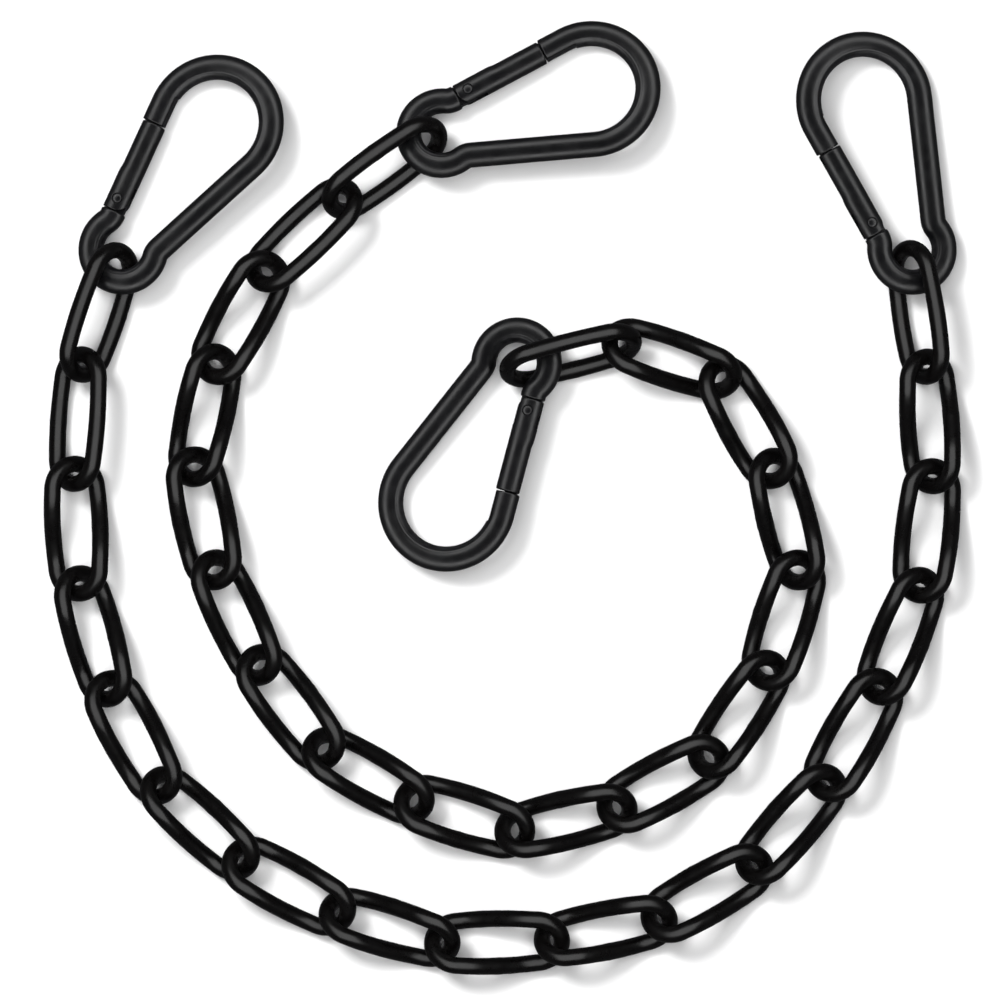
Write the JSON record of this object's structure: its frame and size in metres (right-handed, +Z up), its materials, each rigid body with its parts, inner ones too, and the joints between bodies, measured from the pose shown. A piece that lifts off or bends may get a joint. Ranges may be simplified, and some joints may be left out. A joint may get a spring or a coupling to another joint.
{
  "type": "hanging chain pair",
  "caption": "Two hanging chains of twisted welded links, each with a pear-shaped snap hook at both ends, laid flat with one curled inside the other.",
  "frame": {"origin": "centre of the pair's outline in plan, on the surface it lies on", "axes": "+Z up from the surface, +Y from the middle of the outer chain's curve towards its open ends, +X to the right of the picture"},
  "size_m": [0.278, 0.289, 0.0197],
  "materials": {
    "link_coat": "satin black powder coat on steel",
    "hook_coat": "satin black coat on steel",
    "gate_coat": "satin black coat on steel",
    "rivet_coat": "satin black coat on steel",
    "plunger_steel": "plain steel",
    "spring_steel": "plain spring steel"
  },
  "bodies": {
    "chain_a_link_01": {"chain_a_link_01": "link_coat"},
    "chain_a_link_02": {"chain_a_link_02": "link_coat"},
    "chain_a_link_03": {"chain_a_link_03": "link_coat"},
    "chain_a_link_04": {"chain_a_link_04": "link_coat"},
    "chain_a_link_05": {"chain_a_link_05": "link_coat"},
    "chain_a_link_06": {"chain_a_link_06": "link_coat"},
    "chain_a_link_07": {"chain_a_link_07": "link_coat"},
    "chain_a_link_08": {"chain_a_link_08": "link_coat"},
    "chain_a_link_09": {"chain_a_link_09": "link_coat"},
    "chain_a_link_10": {"chain_a_link_10": "link_coat"},
    "chain_a_link_11": {"chain_a_link_11": "link_coat"},
    "chain_a_link_12": {"chain_a_link_12": "link_coat"},
    "chain_a_link_13": {"chain_a_link_13": "link_coat"},
    "chain_a_link_14": {"chain_a_link_14": "link_coat"},
    "chain_a_link_15": {"chain_a_link_15": "link_coat"},
    "chain_a_link_16": {"chain_a_link_16": "link_coat"},
    "chain_a_link_17": {"chain_a_link_17": "link_coat"},
    "chain_b_link_01": {"chain_b_link_01": "link_coat"},
    "chain_b_link_02": {"chain_b_link_02": "link_coat"},
    "chain_b_link_03": {"chain_b_link_03": "link_coat"},
    "chain_b_link_04": {"chain_b_link_04": "link_coat"},
    "chain_b_link_05": {"chain_b_link_05": "link_coat"},
    "chain_b_link_06": {"chain_b_link_06": "link_coat"},
    "chain_b_link_07": {"chain_b_link_07": "link_coat"},
    "chain_b_link_08": {"chain_b_link_08": "link_coat"},
    "chain_b_link_09": {"chain_b_link_09": "link_coat"},
    "chain_b_link_10": {"chain_b_link_10": "link_coat"},
    "chain_b_link_11": {"chain_b_link_11": "link_coat"},
    "chain_b_link_12": {"chain_b_link_12": "link_coat"},
    "chain_b_link_13": {"chain_b_link_13": "link_coat"},
    "chain_b_link_14": {"chain_b_link_14": "link_coat"},
    "chain_b_link_15": {"chain_b_link_15": "link_coat"},
    "chain_b_link_16": {"chain_b_link_16": "link_coat"},
    "chain_b_link_17": {"chain_b_link_17": "link_coat"},
    "hook_a1_body": {"hook_a1_body": "hook_coat", "hook_a1_rivet": "rivet_coat"},
    "hook_a1_gate": {"hook_a1_gate": "gate_coat", "hook_a1_spring": "spring_steel"},
    "hook_a1_plunger": {"hook_a1_plunger": "plunger_steel"},
    "hook_a2_body": {"hook_a2_body": "hook_coat", "hook_a2_rivet": "rivet_coat"},
    "hook_a2_gate": {"hook_a2_gate": "gate_coat", "hook_a2_spring": "spring_steel"},
    "hook_a2_plunger": {"hook_a2_plunger": "plunger_steel"},
    "hook_b1_body": {"hook_b1_body": "hook_coat", "hook_b1_rivet": "rivet_coat"},
    "hook_b1_gate": {"hook_b1_gate": "gate_coat", "hook_b1_spring": "spring_steel"},
    "hook_b1_plunger": {"hook_b1_plunger": "plunger_steel"},
    "hook_b2_body": {"hook_b2_body": "hook_coat", "hook_b2_rivet": "rivet_coat"},
    "hook_b2_gate": {"hook_b2_gate": "gate_coat", "hook_b2_spring": "spring_steel"},
    "hook_b2_plunger": {"hook_b2_plunger": "plunger_steel"}
  },
  "joints": [
    {"name": "hook_a1_gate_hinge", "type": "hinge", "parent": "hook_a1_body", "child": "hook_a1_gate", "pos_m": [-0.11617, 0.09036, 0.00563], "axis": [0.1952, -0.1429, -0.9703], "range_deg": [0, 35], "stiffness_Nm_per_rad": 0.1, "springref_deg": -22.92},
    {"name": "hook_a2_gate_hinge", "type": "hinge", "parent": "hook_a2_body", "child": "hook_a2_gate", "pos_m": [0.11115, 0.08311, 0.01057], "axis": [-0.2302, -0.0744, -0.9703], "range_deg": [0, 35], "stiffness_Nm_per_rad": 0.1, "springref_deg": -22.92},
    {"name": "hook_b1_gate_hinge", "type": "hinge", "parent": "hook_b1_body", "child": "hook_b1_gate", "pos_m": [-0.01034, 0.1232, 0.00603], "axis": [0.0687, -0.232, -0.9703], "range_deg": [0, 35], "stiffness_Nm_per_rad": 0.1, "springref_deg": -22.92},
    {"name": "hook_b2_gate_hinge", "type": "hinge", "parent": "hook_b2_body", "child": "hook_b2_gate", "pos_m": [0.0081, 0.02623, 0.01002], "axis": [0.1859, -0.0931, -0.9781], "range_deg": [0, 35], "stiffness_Nm_per_rad": 0.1, "springref_deg": -22.92},
    {"name": "chain_b_lift", "type": "slide", "parent": "chain_a_link_09", "child": "chain_b_link_09", "axis": [0, 0, 1], "range_m": [0, 0.15]},
    {"name": "hook_a1_eye_hinge", "type": "hinge", "parent": "chain_a_link_01", "child": "hook_a1_body", "pos_m": [-0.11486, 0.0754, 0.0081], "axis": [-0.1952, 0.1429, 0.9703], "range_deg": [0, 30]},
    {"name": "hook_a2_eye_hinge", "type": "hinge", "parent": "chain_a_link_17", "child": "hook_a2_body", "pos_m": [0.12404, 0.0754, 0.0081], "axis": [-0.2302, -0.0744, -0.9703], "range_deg": [0, 30]},
    {"name": "hook_b1_eye_hinge", "type": "hinge", "parent": "chain_b_link_01", "child": "hook_b1_body", "pos_m": [-0.01836, 0.1105, 0.0085], "axis": [-0.0687, 0.232, 0.9703], "range_deg": [0, 30]},
    {"name": "hook_b2_eye_hinge", "type": "hinge", "parent": "chain_b_link_17", "child": "hook_b2_body", "pos_m": [0.00424, 0.0408, 0.0079], "axis": [0.1859, -0.0931, -0.9781], "range_deg": [0, 30]},
    {"name": "chain_a_joint_09", "type": "hinge", "parent": "chain_a_link_09", "child": "chain_a_link_10", "pos_m": [0.01496, -0.13426, 0.00788], "axis": [0.1908, -0.9816, 0], "range_deg": [0, 20]},
    {"name": "chain_a_joint_10", "type": "hinge", "parent": "chain_a_link_10", "child": "chain_a_link_11", "pos_m": [0.0476, -0.12792, 0.00788], "axis": [0, 0, -1], "range_deg": [0, 28]},
    {"name": "chain_a_joint_11", "type": "hinge", "parent": "chain_a_link_11", "child": "chain_a_link_12", "pos_m": [0.07654, -0.11155, 0.00788], "axis": [0.3256, -0.9455, 0], "range_deg": [0, 14]},
    {"name": "chain_a_joint_12", "type": "hinge", "parent": "chain_a_link_12", "child": "chain_a_link_13", "pos_m": [0.09835, -0.08645, 0.00788], "axis": [0, 0, -1], "range_deg": [0, 28]},
    {"name": "chain_a_joint_13", "type": "hinge", "parent": "chain_a_link_13", "child": "chain_a_link_14", "pos_m": [0.11447, -0.05737, 0.00767], "axis": [0.9272, -0.3746, 0], "range_deg": [0, 24]},
    {"name": "chain_a_joint_14", "type": "hinge", "parent": "chain_a_link_14", "child": "chain_a_link_15", "pos_m": [0.12693, -0.02654, 0.00767], "axis": [0, 0, -1], "range_deg": [0, 28]},
    {"name": "chain_a_joint_15", "type": "hinge", "parent": "chain_a_link_15", "child": "chain_a_link_16", "pos_m": [0.1304, 0.00653, 0.00767], "axis": [0.9981, 0.0611, 0], "range_deg": [0, 18]},
    {"name": "chain_a_joint_16", "type": "hinge", "parent": "chain_a_link_16", "child": "chain_a_link_17", "pos_m": [0.12837, 0.03971, 0.00921], "axis": [0, 0, -1], "range_deg": [0, 28]},
    {"name": "chain_a_joint_08", "type": "hinge", "parent": "chain_a_link_09", "child": "chain_a_link_08", "pos_m": [-0.01828, -0.13514, 0.00788], "axis": [0, 0, 1], "range_deg": [0, 28]},
    {"name": "chain_a_joint_07", "type": "hinge", "parent": "chain_a_link_08", "child": "chain_a_link_07", "pos_m": [-0.05016, -0.12569, 0.00788], "axis": [0.4772, 0.8788, 0], "range_deg": [0, 20]},
    {"name": "chain_a_joint_06", "type": "hinge", "parent": "chain_a_link_07", "child": "chain_a_link_06", "pos_m": [-0.07938, -0.10983, 0.00788], "axis": [0, 0, 1], "range_deg": [0, 28]},
    {"name": "chain_a_joint_05", "type": "hinge", "parent": "chain_a_link_06", "child": "chain_a_link_05", "pos_m": [-0.1039, -0.08736, 0.00788], "axis": [0.8829, 0.4695, 0], "range_deg": [0, 10]},
    {"name": "chain_a_joint_04", "type": "hinge", "parent": "chain_a_link_05", "child": "chain_a_link_04", "pos_m": [-0.11951, -0.05801, 0.00767], "axis": [0, 0, 1], "range_deg": [0, 28]},
    {"name": "chain_a_joint_03", "type": "hinge", "parent": "chain_a_link_04", "child": "chain_a_link_03", "pos_m": [-0.12839, -0.02596, 0.00767], "axis": [0.999, 0.0436, 0], "range_deg": [0, 18]},
    {"name": "chain_a_joint_02", "type": "hinge", "parent": "chain_a_link_03", "child": "chain_a_link_02", "pos_m": [-0.12984, 0.00725, 0.00861], "axis": [0, 0, 1], "range_deg": [0, 26]},
    {"name": "chain_a_joint_01", "type": "hinge", "parent": "chain_a_link_02", "child": "chain_a_link_01", "pos_m": [-0.12752, 0.04042, 0.00887], "axis": [0.9483, -0.3173, 0], "range_deg": [0, 20]},
    {"name": "chain_b_joint_09", "type": "hinge", "parent": "chain_b_link_09", "child": "chain_b_link_10", "pos_m": [0.0037, -0.10137, 0.00767], "axis": [-0.2924, -0.9563, 0], "range_deg": [0, 16]},
    {"name": "chain_b_joint_10", "type": "hinge", "parent": "chain_b_link_10", "child": "chain_b_link_11", "pos_m": [0.03481, -0.09419, 0.00767], "axis": [0, 0, 1], "range_deg": [0, 20]},
    {"name": "chain_b_joint_11", "type": "hinge", "parent": "chain_b_link_11", "child": "chain_b_link_12", "pos_m": [0.06286, -0.07895, 0.00767], "axis": [0.4462, -0.8949, 0], "range_deg": [0, 18]},
    {"name": "chain_b_joint_12", "type": "hinge", "parent": "chain_b_link_12", "child": "chain_b_link_13", "pos_m": [0.08047, -0.05234, 0.00767], "axis": [0, 0, 1], "range_deg": [0, 22]},
    {"name": "chain_b_joint_13", "type": "hinge", "parent": "chain_b_link_13", "child": "chain_b_link_14", "pos_m": [0.09007, -0.0219, 0.00767], "axis": [0.9636, -0.2672, 0], "range_deg": [0, 14]},
    {"name": "chain_b_joint_14", "type": "hinge", "parent": "chain_b_link_14", "child": "chain_b_link_15", "pos_m": [0.08208, 0.00901, 0.00767], "axis": [0, 0, -1], "range_deg": [0, 28]},
    {"name": "chain_b_joint_15", "type": "hinge", "parent": "chain_b_link_15", "child": "chain_b_link_16", "pos_m": [0.06636, 0.03679, 0.00808], "axis": [0, 0, -1], "range_deg": [0, 28]},
    {"name": "chain_b_joint_16", "type": "hinge", "parent": "chain_b_link_16", "child": "chain_b_link_17", "pos_m": [0.03609, 0.04692, 0.00992], "axis": [0, 0, -1], "range_deg": [0, 28]},
    {"name": "chain_b_joint_08", "type": "hinge", "parent": "chain_b_link_09", "child": "chain_b_link_08", "pos_m": [-0.02682, -0.09203, 0.00767], "axis": [0, 0, -1], "range_deg": [0, 10]},
    {"name": "chain_b_joint_07", "type": "hinge", "parent": "chain_b_link_08", "child": "chain_b_link_07", "pos_m": [-0.0546, -0.07632, 0.00767], "axis": [0.7986, 0.6018, 0], "range_deg": [0, 20]},
    {"name": "chain_b_joint_06", "type": "hinge", "parent": "chain_b_link_07", "child": "chain_b_link_06", "pos_m": [-0.07381, -0.05082, 0.00767], "axis": [0, 0, -1], "range_deg": [0, 20]},
    {"name": "chain_b_joint_05", "type": "hinge", "parent": "chain_b_link_06", "child": "chain_b_link_05", "pos_m": [-0.0873, -0.02189, 0.00767], "axis": [0.9799, 0.1994, 0], "range_deg": [0, 24]},
    {"name": "chain_b_joint_04", "type": "hinge", "parent": "chain_b_link_05", "child": "chain_b_link_04", "pos_m": [-0.09367, 0.00938, 0.00767], "axis": [0, 0, -1], "range_deg": [0, 14]},
    {"name": "chain_b_joint_03", "type": "hinge", "parent": "chain_b_link_04", "child": "chain_b_link_03", "pos_m": [-0.08703, 0.04061, 0.00767], "axis": [0.8788, -0.4772, 0], "range_deg": [0, 24]},
    {"name": "chain_b_joint_02", "type": "hinge", "parent": "chain_b_link_03", "child": "chain_b_link_02", "pos_m": [-0.0718, 0.06866, 0.0084], "axis": [0, 0, 1], "range_deg": [0, 26]},
    {"name": "chain_b_joint_01", "type": "hinge", "parent": "chain_b_link_02", "child": "chain_b_link_01", "pos_m": [-0.04865, 0.09063, 0.00916], "axis": [0.5878, -0.809, 0], "range_deg": [0, 28]},
    {"name": "hook_a1_plunger_slide", "type": "slide", "parent": "hook_a1_gate", "child": "hook_a1_plunger", "axis": [0.4149, 0.9085, -0.0503], "range_m": [0, 0.0012], "deforming": ["hook_a1_spring"]},
    {"name": "hook_a2_plunger_slide", "type": "slide", "parent": "hook_a2_gate", "child": "hook_a2_plunger", "axis": [-0.4926, 0.8688, 0.0503], "range_m": [0, 0.0012], "deforming": ["hook_a2_spring"]},
    {"name": "hook_b1_plunger_slide", "type": "slide", "parent": "hook_b1_gate", "child": "hook_b1_plunger", "axis": [0.8806, 0.4712, -0.0503], "range_m": [0, 0.0012], "deforming": ["hook_b1_spring"]},
    {"name": "hook_b2_plunger_slide", "type": "slide", "parent": "hook_b2_gate", "child": "hook_b2_plunger", "axis": [-0.2561, -0.9657, 0.0432], "range_m": [0, 0.0012], "deforming": ["hook_b2_spring"]}
  ],
  "couplings": [
    {"joint": "hook_a1_plunger_slide", "follows": "hook_a1_gate_hinge", "m_per_rad": 0.0018},
    {"joint": "hook_a2_plunger_slide", "follows": "hook_a2_gate_hinge", "m_per_rad": 0.0018},
    {"joint": "hook_b1_plunger_slide", "follows": "hook_b1_gate_hinge", "m_per_rad": 0.0018},
    {"joint": "hook_b2_plunger_slide", "follows": "hook_b2_gate_hinge", "m_per_rad": 0.0018}
  ]
}
